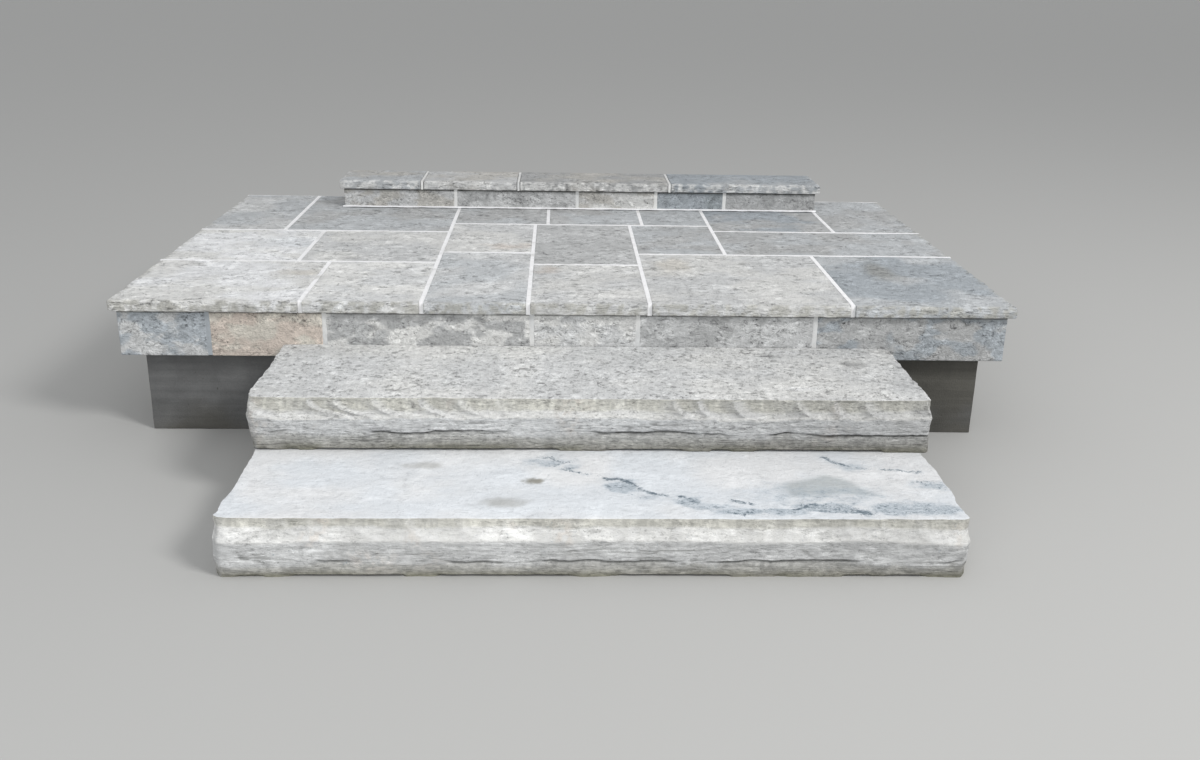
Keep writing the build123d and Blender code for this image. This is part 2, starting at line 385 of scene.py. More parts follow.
def spot(points, place, size, seed, raggedness):
    """A soft ragged patch in plan: 1 in its middle, 0 beyond its half size."""
    distance = np.sqrt(np.sum(((points[:, :Z] - place) / size) ** 2, axis=1))
    ragged = raggedness * (2 * noise(points, max(size) / 2, 4, seed) - 1)
    return 1 - ramp(distance + ragged, 0.15, 1)


def place_marks(points, marks, seed):
    """How strongly a set of ragged marks shows; each has a place and a half size."""
    spots = [spot(points, *mark, seed + number, 0.7) for number, mark in enumerate(marks)]
    return np.max(spots, axis=0)


# Stone shapes

def rounded(points, low, high, reach):
    """Pull the shell of a box in so that its edges are round.

    reach gives, for each axis, how far the rounding comes in from the low and the high side, as
    numbers or as an array with a number for each point.
    """
    core = np.empty_like(points)
    scale = np.empty_like(points)
    for axis in range(3):
        near, far = reach[axis]
        core[:, axis] = np.clip(points[:, axis], low[axis] + near, high[axis] - far)
        scale[:, axis] = np.where(points[:, axis] < (low[axis] + high[axis]) / 2, near, far)
    out = (points - core) / scale
    length = np.maximum(np.linalg.norm(out, axis=1), 1)
    return core + out * scale / length[:, None]


def side_share(points, low, high, side, depth):
    """1 on one side of a box, falling to 0 at the given depth inside it."""
    axis, end = side
    gap = points[:, axis] - low[axis] if end == 0 else high[axis] - points[:, axis]
    return np.clip(1 - gap / depth, 0, 1)


def push_in(points, base, low, high, side, depth, amount):
    """Move one side of a box inwards by an amount that fades out at the given depth."""
    axis, end = side
    inward = 1 if end == 0 else -1
    points[:, axis] += inward * amount * side_share(base, low, high, side, depth)


def flagstone(node, seed, outer):
    """The shell of a paving stone, cleft on top, and how rough it is: all over its outer sides."""
    low, high = box(node)
    lines = [
        grid_lines(low[X], high[X], EDGE_STONE_STEP if outer else PAVING_STEP),
        grid_lines(low[Y], high[Y], PAVING_STEP),
        grid_lines(low[Z], high[Z], PAVING_RISE_STEP, fine_low=bool(outer)),
    ]
    base, quads, polygons = box_shell(lines, flat_sides=(BOTTOM,))
    rough_edge = np.zeros(len(base))
    for side in outer:
        rough_edge = np.maximum(rough_edge, side_share(base, low, high, side, ROUGH_EDGE_WIDTH))
    edge_noise = noise(base, 45, 3, seed)
    inner_reach = 1.6 + 1.4 * edge_noise
    outer_reach = 7 + 7 * edge_noise
    top_reach = inner_reach + ramp(rough_edge, 0, 0.9) * (outer_reach - inner_reach)
    reach = [[inner_reach, inner_reach], [inner_reach, inner_reach]]
    for axis, end in outer:
        reach[axis][end] = outer_reach
    reach.append([np.where(rough_edge > 0, np.minimum(top_reach, 6), 1), top_reach])
    points = rounded(base, low, high, reach)
    for side in (LEFT, RIGHT, FRONT, BACK):
        axis, end = side
        if side in outer:
            lumps = noise(base * (1, 1, 1.6), 55, 4, seed + 3 + axis)
            amount = ROUGH_EDGE_DEPTH * lumps**1.5 + 5 * ridges(base, 22, 3, seed + 7)
        else:
            amount = CLEFT * noise(base * (1, 1, 0), 120, 3, seed + 5 + axis + end)
        push_in(points, base, low, high, side, PAVING_FADE, amount)
    sheets = noise(base * (0.7, 1, 1), 80, 4, seed + 11)
    ripples = ridges(base * (0.6, 1, 1), 60, 2, seed + 12)
    depth = CLEFT * (1.1 * sheets + 0.5 * ripples)
    push_in(points, base, low, high, TOP, PAVING_TOP_FADE, depth)
    return (points, quads, polygons), rough_edge


def facing_shell(low, high, outward, seed, step=FACING_STEP):
    """The shell of a facing stone whose outer side is split rough."""
    axis, end = outward
    steps = [step] * 3
    steps[axis] = FACING_DEPTH_STEP
    lines = list(map(grid_lines, low, high, steps))
    base, quads, polygons = box_shell(lines, flat_sides=((axis, -1 - end),))
    edge = 2.6 + 2.6 * noise(base, 50, 3, seed)
    points = rounded(base, low, high, [[edge, edge]] * 3)
    lumps = noise(base, 60, 4, seed + 2)
    fine = ridges(base * (1, 1, 1.5), 16, 2, seed + 4)
    push_in(points, base, low, high, outward, FACING_FADE, SPLIT_DEPTH * lumps + 1.1 * fine)
    return points, quads, polygons


def plain_shell(low, high, step, seed, relief=2, edge=1):
    """A block of mortar or concrete with slightly rough faces."""
    lines = [grid_lines(low[axis], high[axis], step, False, False) for axis in range(3)]
    base, quads, polygons = box_shell(lines)
    points = rounded(base, low, high, [[edge, edge]] * 3)
    for side in SIDES:
        axis = side[0]
        depth = min(30, (high[axis] - low[axis]) / 2)
        push_in(points, base, low, high, side, depth, relief * noise(base, 22, 3, seed + axis))
    return points, quads, polygons


# The two slab steps

def rim_place(number):
    """Where the rim of a scoop lies, counted in scoops."""
    return number + 0.7 * (LATTICE[number % LATTICE_SIZE, 7, 2] - 0.5)


def rock_slab(node, seed, crevice_level, closed, scoop_depth, calm, lamination, top_relief, bevel,
              foot_inset):
    """The undisturbed points of a step slab, its shell, and numbers that tell its zones apart.

    closed is about the share of its length where the crevice is shut, and calm gives the middle
    and the half length of the stretch without scoops. bevel is how much its front corners are
    broken off, and foot_inset how much further in its left and its right end stand at the foot.
    """
    low, high = box(node)
    height = high[Z] - low[Z]
    lines = [
        grid_lines(low[X], high[X], SLAB_STEP),
        grid_lines(low[Y], high[Y], SLAB_TOP_STEP, fine_high=False),
        grid_lines(low[Z], high[Z], SLAB_RISE_STEP, fine_low=False),
    ]
    base, quads, polygons = box_shell(lines, flat_sides=(BACK, BOTTOM))
    x = base[:, X]
    level = base[:, Z] - low[Z]
    front_gap = base[:, Y] - low[Y]
    left_gap = x - low[X]
    right_gap = high[X] - x
    end_gap = np.minimum(left_gap, right_gap)
    on_line = base * (1, 0, 0)
    on_front = base * (1, 0, 1)
    on_end = base * (0, 1, 1)

    # Scoops of the pitching tool. Each starts at the arris with a sharp rim that sweeps down to
    # the right and flattens out along the ridge; past its rim it is deep, then it rises slowly.
    wander = RIDGE_WANDER * (2 * noise(on_line, 240, 3, seed) - 1)
    fall = 1 - np.clip((level - RIDGE_LEVEL) / (height - RIDGE_LEVEL), 0, 1)
    shorter = 1 - 0.5 * ramp(x, -300, 500)
    drift = SCOOP_DRIFT * shorter * (0.65 + 0.7 * noise(on_line, 160, 2, seed + 7))
    along = (x - low[X] - drift * fall**3.2) / SCOOP_SPACING
    along += 0.8 * (noise(on_line, 300, 2, seed + 8) - 0.5)
    along += 0.16 * (noise(on_front, 42, 3, seed + 9) - 0.5)
    number = np.floor(along).astype(int)
    number += np.where(rim_place(number + 1) <= along, 1, 0)
    number -= np.where(rim_place(number) > along, 1, 0)
    rim = rim_place(number)
    inside = (along - rim) / (rim_place(number + 1) - rim)
    stillness = np.exp(-(((x - calm[0]) / calm[1]) ** 4))
    power = (0.6 + 0.6 * LATTICE[number % LATTICE_SIZE, 3, 5]) * (1 - 0.85 * stillness)
    scoop = power * ramp(inside, 0, 0.2) * (1 - inside) ** 0.8

    # Levels of the ridge and of the crevice along the slab
    ridge = RIDGE_LEVEL + 3 + wander - 0.7 * scoop_depth * scoop
    crevice = crevice_level + 8 * (2 * noise(on_line, 210, 3, seed + 2) - 1)
    crevice += 7 * (2 * noise(on_line, 50, 4, seed + 3) - 1)
    opening = ramp(noise(on_line, 150, 4, seed + 6), closed - 0.08, closed + 0.1)

    # Front-to-back section: steep under the arris, then flaring out to the ridge
    above = np.clip((level - ridge) / (height - ridge), 0, 1)
    below = np.clip((ridge - level) / (ridge - crevice), 0, 1)
    under = np.clip((crevice - level) / crevice, 0, 1)
    facet_bend = 0.5 + 0.45 * noise(on_line, 200, 3, seed + 4)
    recess = ARRIS_RECESS * above**facet_bend + MID_RECESS * below**1.4
    step_share = 0.6 * opening
    fall_back = step_share * ramp(under, 0, 0.12) + (1 - step_share) * ramp(under, -0.1, 1)
    upright = 1 - 0.8 * np.exp(-end_gap / 60)
    recess += (FOOT_RECESS - MID_RECESS) * fall_back * upright
    notch = np.exp(-(((level - crevice) / CREVICE_HALF_HEIGHT) ** 2))
    recess += CREVICE_DEPTH * opening * notch
    recess += scoop_depth * scoop * ramp(above, 0.0, 0.2) * (1 - 0.6 * ramp(above, 0.75, 1))

    # Bedding laminations, rough fracture, broken corners and the gap under the foot
    on_face = ramp(below, 0.05, 0.3)
    sheets = noise(on_front * (0.2, 1, 1), 8, 3, seed + 10)
    recess += lamination * (0.15 + on_face + 0.9 * stillness * ramp(above, 0.9, 0.4)) * sheets
    lumps = noise(on_front, 120, 3, seed + 12) - 0.5
    fracture = ridges(on_front * (1, 1, 1.3), 46, 4, seed + 14)
    rough_weight = 0.3 + 0.7 * ramp(above, 0.05, 0.4)
    near_arris = ramp(above, 0.8, 1)
    recess += (1 - near_arris) * (6 * lumps + 2 * rough_weight * fracture)
    recess += 1.6 * noise(on_front, 11, 2, seed + 16) * (1 - 0.4 * near_arris)
    recess += CORNER_DEPTH * np.exp(-end_gap / 14) * noise(base, 45, 3, seed + 17)
    broken = ramp(end_gap, 1.4 * bevel, 0) * ramp(level, height, height - 30)
    recess += bevel * broken * (0.5 + noise(on_front, 60, 3, seed + 19))
    foot_gap = ramp(level, 7, 1) * ramp(noise(on_line, 70, 4, seed + 18), 0.36, 0.6)
    recess += FOOT_GAP_DEPTH * foot_gap * upright

    points = base.copy()
    points[:, Y] += np.maximum(recess, 0) * np.clip(1 - front_gap / FRONT_FADE, 0, 1)

    # Ends, pitched like the front, and the right one's back corner broken off
    beneath = np.clip((RIDGE_LEVEL - level) / RIDGE_LEVEL, 0, 1)
    for side, shift, inset in ((LEFT, 20.0, foot_inset[0]), (RIGHT, 30.0, foot_inset[1])):
        depth = END_RECESS * (1 - fall) + inset * beneath**0.5 - END_FREEDOM
        depth += 16 * noise(on_end * (1, 1, 0.6), 110, 4, seed + shift)
        depth += 8 * ridges(on_end, 50, 4, seed + shift + 3)
        if side == RIGHT:
            depth += np.clip(15 - (high[Y] - base[:, Y]), 0, None)
        push_in(points, base, low, high, side, END_FADE, np.maximum(depth, 0))

    # Top: cleft sheets, and an arris that is only slightly worn
    on_top = np.clip(1 - (height - level) / TOP_FADE, 0, 1)
    clefts = noise(base * (0.4, 1, 1), 24, 3, seed + 40)
    broad = noise(base * (0.5, 1, 1), 160, 2, seed + 42)
    wear = np.exp(-front_gap / 4) + np.exp(-end_gap / 7)
    worn_depth = 2.2 * wear * noise(on_line, 30, 3, seed + 44)
    points[:, Z] -= on_top * (top_relief * clefts + 1.5 * broad + worn_depth)

    zones = {
        "above": above,
        "below": below,
        "under": under,
        "top": on_top * ramp(front_gap, 0, 2),
        "notch": notch * opening,
        "opening": opening,
        # rim, shade and corner mark where painted light goes: a highlight on the scoops' rims, shade
        # before each next rim, and shade on the broken-off left corner
        "rim": power * (1 - ramp(inside, 0.08, 0.45 - 0.2 * above)),
        "shade": power * ramp(inside, 0.5, 0.95) * (1 - 0.5 * above),
        "foot_gap": foot_gap,
        "corner": ramp(left_gap + 14 * (fracture - 0.5), 24, 16),
    }
    return base, (points, quads, polygons), zones


def slab_colours(base, zones, seed, top_colours, front_colours, band_start, scoop_light_and_shade, right_shade_and_dulling):
    """Colours of a slab: its top, the band under the arris, the ridge, the face and the foot.

    The last argument is how much darker its front gets towards the right end: partly painted
    shade of a planter that stands there, partly greyer stone.
    """
    facet_colour, ridge_colour, face_colour, foot_colour = front_colours
    above = zones["above"]
    below = zones["below"]
    under = zones["under"]
    patch = noise(base * (1, 1, 1.5), 70, 4, seed)
    mottle = ramp(noise(base, 12, 3, seed + 6), 0.4, 0.6)
    strokes = ramp(noise(base * (1, 1, 0.35), 7, 2, seed + 20), 0.4, 0.6)

    # Band under the arris, with upright tool strokes, down to the bright ridge
    front = stain(ridge_colour, 0.25 * mottle * patch, facet_colour)
    band = ramp(above + 0.3 * (patch - 0.5), band_start, band_start + 0.2)
    front = stain(front, 0.9 * band, facet_colour * (0.84 + 0.24 * strokes)[:, None])
    on_facet = ramp(above, 0.0, 0.1) * (1 - ramp(above, 0.85, 1))
    # Painted shade before each next rim of a scoop, and a painted highlight on the rims that partly
    # stands for stone bruised white by the pitching tool
    front = stain(front, 1.5 * scoop_light_and_shade * on_facet * zones["shade"], 0.78 * MID_GREY)
    front = stain(front, 1.3 * scoop_light_and_shade * on_facet * zones["rim"], WHITE_STONE)

    # Laminated face, with thin dark bedding lines, and the foot; painted shade in the crevice, in the
    #     # gap under the foot and on the broken-off left corner
    sheet = noise(base * (0.2, 1, 1), 7, 3, seed + 2)
    calm = ramp(noise(base, 150, 3, seed + 25), 0.35, 0.65)
    face = face_colour * (0.9 + 0.12 * (1 - 0.6 * calm) * ramp(sheet, 0.38, 0.62))[:, None]
    face *= (0.93 + 0.12 * mottle)[:, None]
    front = stain(front, ramp(below, 0.0, 0.14), face)
    foot = stain(face_colour, 0.4 + 0.6 * under, foot_colour) * (0.86 + 0.26 * mottle)[:, None]
    faded = ramp(under + 0.5 * (patch - 0.5), 0.0, 0.35)
    sharp = zones["opening"] * ramp(under, 0, 0.08)
    front = stain(front, np.maximum(faded, sharp), foot)
    bed = np.abs(noise(base * (0.09, 1, 1), 20, 3, seed + 30) - 0.5)
    bedding = ramp(bed, 0.022, 0.006) * ramp(noise(base, 90, 3, seed + 31), 0.42, 0.6)
    front = stain(front, 0.5 * bedding * ramp(below, 0.1, 0.4), DARK_GREY)
    damp = ramp(under, 0.45, 1) * ramp(noise(base, 90, 4, seed + 3), 0.3, 0.6)
    front = stain(front, 0.8 * damp, MOSS)
    # Painted shade in the crevice and in the gap under the foot
    dark = np.minimum(0.85 * zones["notch"] + 0.8 * zones["foot_gap"], 1)
    front = stain(front, dark, 0.7 * DARK_GREY)
    warm = ramp(noise(base, 120, 3, seed + 7), 0.58, 0.72) * (1 - under)
    front = stain(front, 0.35 * mottle * warm, PINK_BEIGE)
    # Painted shade on the broken-off left corner, which faces away from the key light
    front = stain(front, 0.6 * zones["corner"] * (0.4 + 0.6 * mottle) * (1 - above), 0.85 * MID_GREY)
    # Darker towards the right end: partly painted shade of a planter there, partly greyer stone
    front *= (1 - right_shade_and_dulling * ramp(base[:, X], -200, 900))[:, None]
    top = clouded(base, *top_colours, seed + 5, (220, 200, 200))
    top *= (1 - 0.6 * right_shade_and_dulling * ramp(base[:, X], -100, 900))[:, None]
    return stain(front, ramp(zones["top"], 0, 0.5), top)


# Veins across the lower slab's top: how strong and how wide to each side a stroke is, and the
# (x, y) places along it
VEINS = (
    (0.70, 16, (-78, -903), (-48, -905), (-33, -925)),
    (0.40, 14, (-108, -957), (-80, -962)),
    (0.80, 14, (-35, -957), (-17, -938), (2, -932)),
    (0.95, 14, (-12, -992), (6, -980)),
    (0.80, 12, (-2, -1000), (30, -1010), (46, -1018)),
    (0.35, 12, (50, -1016), (100, -1034)),
    (0.35, 10, (52, -1032), (84, -1050)),
    (1.00, 17, (100, -1042), (128, -1044), (150, -1062), (163, -1080)),
    (0.90, 14, (163, -1080), (180, -1117), (205, -1136), (248, -1145)),
    (0.50, 11, (105, -1095), (125, -1100)),
    (0.50, 11, (103, -1118), (122, -1124)),
    (0.45, 11, (150, -1140), (190, -1170)),
    (0.40, 12, (258, -1130), (280, -1142)),
    (0.90, 20, (280, -1150), (300, -1165), (312, -1190)),
    (0.50, 12, (270, -1170), (285, -1185)),
    (0.40, 12, (318, -1222), (345, -1228)),
    (0.50, 11, (345, -1240), (400, -1248), (480, -1240), (548, -1246)),
    (0.95, 15, (408, -1174), (430, -1188), (448, -1196)),
    (0.85, 20, (392, -1262), (420, -1278), (446, -1266)),
    (0.50, 12, (455, -1262), (520, -1268)),
    (1.00, 18, (552, -1246), (575, -1226), (602, -1198), (618, -1198)),
    (0.80, 15, (612, -1198), (650, -1210), (690, -1236)),
    (0.80, 14, (600, -1222), (645, -1232), (690, -1256)),
    (0.70, 12, (585, -1244), (640, -1256), (700, -1270)),
    (1.00, 34, (700, -1248), (724, -1268)),
    (0.60, 12, (730, -1252), (800, -1262)),
    (0.85, 15, (690, -900), (705, -922), (742, -955)),
    (0.65, 16, (765, -972), (790, -980)),
    (0.75, 14, (822, -982), (870, -985), (935, -1000)),
    (0.65, 14, (890, -1056), (950, -1068)),
    (0.65, 14, (950, -1100), (1000, -1120)),
)
# Pale blue patches beside them, as how strong they are, places and half sizes. The two near the
# # right end, at x 860 and 930, are partly painted shade of a planter that stands there.
HAZES = (
    (0.6, (-65, -945), (80, 50)),
    (0.5, (10, -965), (45, 40)),
    (0.9, (135, -1092), (66, 66)),
    (0.5, (195, -1165), (60, 44)),
    (0.9, (296, -1182), (56, 52)),
    (0.6, (340, -1220), (110, 50)),
    (0.9, (430, -1255), (120, 46)),
    (0.7, (545, -1256), (100, 40)),
    (1.0, (640, -1226), (110, 56)),
    (1.0, (714, -1258), (60, 40)),
    (0.85, (860, -1236), (230, 80)),
    (0.5, (760, -965), (140, 60)),
    (0.65, (930, -1080), (120, 60)),
    (0.45, (640, -1150), (420, 170)),
)


def path_distance(places, path):
    """How far each place lies from a path of straight stretches."""
    nearest = np.full(len(places), np.inf)
    for start, end in zip(path, path[1:]):
        stretch = np.subtract(end, start)
        share = np.clip((places - start) @ stretch / (stretch @ stretch), 0, 1)
        offset = places - start - share[:, None] * stretch
        nearest = np.minimum(nearest, np.hypot(offset[:, 0], offset[:, 1]))
    return nearest


def vein_values(base):
    """How strongly the veins and the pale blue beside them show at each point."""
    places = wobbled(base, 50, 24, (70, 90))
    vein = np.zeros(len(base))
    haze = np.zeros(len(base))
    for strength, width, *path in VEINS:
        distance = path_distance(places, path) / width
        vein = np.maximum(vein, strength * np.clip(1 - distance, 0, 1))
        haze = np.maximum(haze, 0.4 * strength * np.clip(1 - distance / 3, 0, 1))
    for number, (strength, place, size) in enumerate(HAZES):
        haze = np.maximum(haze, strength * spot(base, place, size, 5 + number, 0.5))
    return vein, haze


# Materials

def stone_material(name, sheets, sheet, dashes, dash, patch, pit, relief, rough_gain, swirl, calm,
                   bedding=0.0, veined=False):
    """Natural stone: the mesh's colour, broken up by sheets, patches, short marks and pits.

    sheets and dashes give how closely those marks follow each other along each axis, per metre.
    The numbers after them give how strongly each kind of mark shows, how deep the fine relief
    is, how much stronger all of it is where the stone is rough, how much the marks swirl, and
    how much weaker they are in the stone's calm areas. bedding is how dark the thin level lines
    are on the faces that show the stone's beds.
    """
    shader = Shader(name)
    offset = shader.attribute("offset", "Vector")

    def field(stretch, detail, roughness, distortion=0.0, scale=1.0):
        return shader.noise(stretch, detail, roughness, distortion, scale, offset)

    sheet_noise = field(sheets, 6, 0.7, 0.7)
    cloud_noise = field((7, 10, 18), 6, 0.66)
    patch_noise = field((19, 17, 30), 8, 0.74, 1.5 * swirl)
    dash_noise = field(dashes, 3, 0.62, swirl)
    calm_noise = field((9, 8, 14), 4, 0.6, swirl)
    pit_noise = field((170, 120, 230), 2, 0.6)
    sand_noise = field((1, 1, 1), 2, 0.6, scale=420.0)

    force = 1.0 + shader.attribute("rough") * rough_gain
    force *= shader.spread(calm_noise, 0.42, 0.58, 1 - calm, 1.3)
    marks = shader.spread(sheet_noise, 0.38, 0.6, -sheet, 0.6 * sheet)
    for part, start, end, strength in (
        (cloud_noise, 0.36, 0.64, 0.09),
        (patch_noise, 0.52, 0.56, 0.7 * patch),
        (patch_noise, 0.47, 0.43, -patch),
        (dash_noise, 0.57, 0.61, 0.6 * dash),
        (dash_noise, 0.43, 0.39, -dash),
        (pit_noise, 0.64, 0.7, 0.5 * pit),
        (pit_noise, 0.38, 0.3, -pit),
    ):
        marks += shader.spread(part, start, end, 0.0, strength)
    lightness = 1.0 + marks * force
    if bedding:
        beds = field((6, 6, 260), 5, 0.7, 0.4)
        lines = shader.spread(beds, 0.47, 0.41, 0.0, -bedding)
        lines += shader.spread(beds, 0.56, 0.6, 0.0, 0.4 * bedding)
        lightness += lines * shader.attribute("bedded")
    colour = shader.tinted(lightness)
    if veined:
        colour = add_veins(shader, colour)
    height = sheet_noise * 1.2 + dash_noise + pit_noise * 0.5 + sand_noise * 0.1
    return shader.finish(colour, shader.spread(sand_noise, 0.3, 0.7, 0.74, 0.92), height, relief)


def add_veins(shader, colour):
    """Blue-grey veins with ragged edges where the mesh carries them, and the haze beside them."""
    wear = shader.noise((70, 85, 62), 5, 0.8, 1.2)
    cloud = shader.noise((24, 30, 22), 6, 0.75)
    crack = shader.math("ABSOLUTE", shader.noise((22, 60, 30), 6, 0.75, 1.4) - 0.5)
    speck = shader.noise((75, 95, 75), 3, 0.65, 0.5)
    cloudy = shader.attribute("haze") + cloud * 1.2
    web = shader.spread(cloudy, 0.9, 1.3) * shader.spread(crack, 0.04, 0.01)
    speckle = shader.spread(cloudy, 0.95, 1.35) * shader.spread(speck, 0.57, 0.62)
    level = shader.attribute("vein") + wear * 3.6
    for share, vein_colour in (
        (shader.spread(cloudy, 0.7, 1.35, 0.0, 0.55), PALE_BLUE),
        (web * 0.8, VEIN_BLUE),
        (speckle * 0.7, DARK_BLUE),
        (shader.spread(level, 2.28, 2.48, 0.0, 0.7), VEIN_BLUE),
        (shader.spread(level, 2.48, 2.68, 0.0, 0.9), DARK_BLUE),
    ):
        colour = shader.mix(share, colour, vein_colour)
    return colour


def mortar_material():
    """Pale lime mortar, sandy, with painted shade that darkens its hollows."""
    shader = Shader("mortar")
    sand = shader.noise((1, 1, 1), 3, 0.7, scale=520.0)
    wear = shader.noise((1, 1, 1), 5, 0.6, scale=45.0)
    lightness = shader.spread(sand, 0.3, 0.7, 0.95, 1.03) * shader.spread(wear, 0.3, 0.6, 0.93, 1.03)
    roughness = shader.spread(sand, 0.3, 0.7, 0.8, 0.95)
    return shader.finish(shader.tinted(lightness), roughness, sand + wear * 1.5, 0.0012)


def concrete_material():
    """Poured concrete with the marks of its form boards, and small air holes darkened with painted
    shade.
    """
    shader = Shader("concrete")
    boards = shader.noise((2.5, 2.5, 60), 4, 0.6)
    clouds = shader.noise((1, 1, 1), 5, 0.6, scale=9.0)
    grit = shader.noise((1, 1, 1), 3, 0.7, scale=260.0)
    pores = shader.noise((1, 1, 1), 2, 0.5, scale=95.0)
    hole = shader.spread(pores, 0.27, 0.22, 0.0, 0.7)
    lightness = shader.spread(boards, 0.3, 0.7, 0.9, 1.06) * shader.spread(clouds, 0.3, 0.7, 0.84, 1.1)
    lightness *= shader.spread(grit, 0.3, 0.7, 0.93, 1.06)
    colour = shader.mix(hole, shader.tinted(lightness), 0.5 * DARK_GREY)
    roughness = shader.spread(clouds, 0.3, 0.7, 0.78, 0.92)
    return shader.finish(colour, roughness, boards * 1.2 + grit - hole, 0.0015)


SLAB_STONE = stone_material(
    "slab_stone", sheets=(40, 40, 150), sheet=0.08, dashes=(62, 62, 190), dash=0.38, patch=0.06,
    pit=0.34, relief=0.007, rough_gain=-0.3, swirl=0.4, calm=0.2, bedding=0.24
)
LOWER_SLAB_STONE = stone_material(
    "veined_slab_stone", sheets=(24, 34, 120), sheet=0.03, dashes=(44, 50, 150), dash=0.08,
    patch=0.03, pit=0.12, relief=0.003, rough_gain=1.6, swirl=0.4, calm=0.5, bedding=0.18,
    veined=True
)
PAVING_STONE = stone_material(
    "paving_stone", sheets=(19, 24, 90), sheet=0.13, dashes=(40, 46, 130), dash=0.3, patch=0.08,
    pit=0.24, relief=0.008, rough_gain=0.2, swirl=0.8, calm=0.5
)
FACING_STONE = stone_material(
    "facing_stone", sheets=(30, 40, 48), sheet=0.12, dashes=(60, 56, 80), dash=0.28, patch=0.16,
    pit=0.24, relief=0.006, rough_gain=0.2, swirl=1.5, calm=0.5
)
MORTAR = mortar_material()
CONCRETE = concrete_material()

# The slabs' front colours: under the arris, on the ridge, on the face and at the foot
LOWER_FRONT = (1.03 * OLIVE_GREY, 0.97 * PALE_STONE, 1.02 * PALE_GREY, 0.94 * BROWN_GREY)
# The upper slab's face colour is set lighter partly as painted light on the face that the ridge above
# shades
UPPER_FRONT = (1.44 * OLIVE_GREY, 1.16 * PALE_STONE, 1.27 * PALE_GREY, 1.03 * BROWN_GREY)
# Marks on their tops, as places and half sizes, some with their strength first
SOFT_SPOTS = ((0.45, (-372, -964), (80, 36)), (1.0, (-92, -1062), (36, 24)),
              (0.55, (-167, -1198), (84, 48)))
DARK_MARKS = (((-2, -466), (16, 10)), ((-501, -764), (16, 12)), ((444, -812), (22, 16)),
              ((767, -689), (16, 12)), ((844, -545), (46, 36)), ((610, -470), (60, 14)))
PALE_MARKS = (((676, -430), (46, 30)), ((375, -670), (62, 26)), ((640, -760), (60, 20)),
              ((-640, -560), (110, 40)))
# Outline of the grey stain on the lower slab, anticlockwise
STAIN = ((548, -1080), (560, -1152), (790, -1150), (712, -1034), (665, -1006))


def inside_depth(base, outline):
    """How deep each point lies inside an outline that is listed anticlockwise, made ragged."""
    places = wobbled(base, 70, 40, (31, 37))
    corners = np.array(outline)
    depth = np.full(len(base), np.inf)
    for start, end in zip(corners, np.roll(corners, -1, axis=0)):
        along = (end - start) / np.linalg.norm(end - start)
        depth = np.minimum(depth, (places - start) @ np.array((-along[1], along[0])))
    return depth


def make_slabs():
    """The two rock-faced step slabs."""
    base, shell, zones = rock_slab(
        "lower_slab", 3.0, crevice_level=42, closed=0.46, scoop_depth=4, calm=(300, 300),
        lamination=2, top_relief=0.6, bevel=12, foot_inset=(0, 0)
    )
    tint = slab_colours(base, zones, 3.0, (1.03 * COOL_WHITE, 1.03 * SOFT_WHITE), LOWER_FRONT,
                        band_start=0.45, scoop_light_and_shade=0.15, right_shade_and_dulling=0.16)
    top = ramp(zones["top"], 0, 0.5)
    tint = stain(tint, 0.85 * top * ramp(inside_depth(base, STAIN), -14, 20), STAIN_GREY)
    for strength, *mark in SOFT_SPOTS:
        tint = stain(tint, strength * top * place_marks(base, [mark], 8.0), BROWN_GREY)
    vein, haze = vein_values(base)
    place_piece("lower_slab_stone", "lower_slab", shell, "slab_stone", LOWER_SLAB_STONE, tint, 1.0,
                vein=vein * top, haze=haze * top, rough=1 - top, bedded=ramp(zones["below"], 0.1, 0.35))

    base, shell, zones = rock_slab(
        "upper_slab", 9.0, crevice_level=54, closed=0.5, scoop_depth=13, calm=(0, 240),
        lamination=3, top_relief=2, bevel=6, foot_inset=(14, 4)
    )
    tint = slab_colours(base, zones, 9.0, (1.19 * PALE_STONE, 1.15 * PALE_GREY), UPPER_FRONT,
                        band_start=0.2, scoop_light_and_shade=0.5, right_shade_and_dulling=0.24)
    top = ramp(zones["top"], 0, 0.5)
    tint = stain(tint, 0.6 * top * place_marks(base, PALE_MARKS, 14.0), WHITE_STONE)
    tint = stain(tint, 0.6 * top * place_marks(base, DARK_MARKS, 12.0), 0.5 * MID_GREY)
    place_piece("upper_slab_stone", "upper_slab", shell, "slab_stone", SLAB_STONE, tint, 2.0,
                rough=1 - zones["top"], bedded=ramp(zones["below"], 0.1, 0.35))


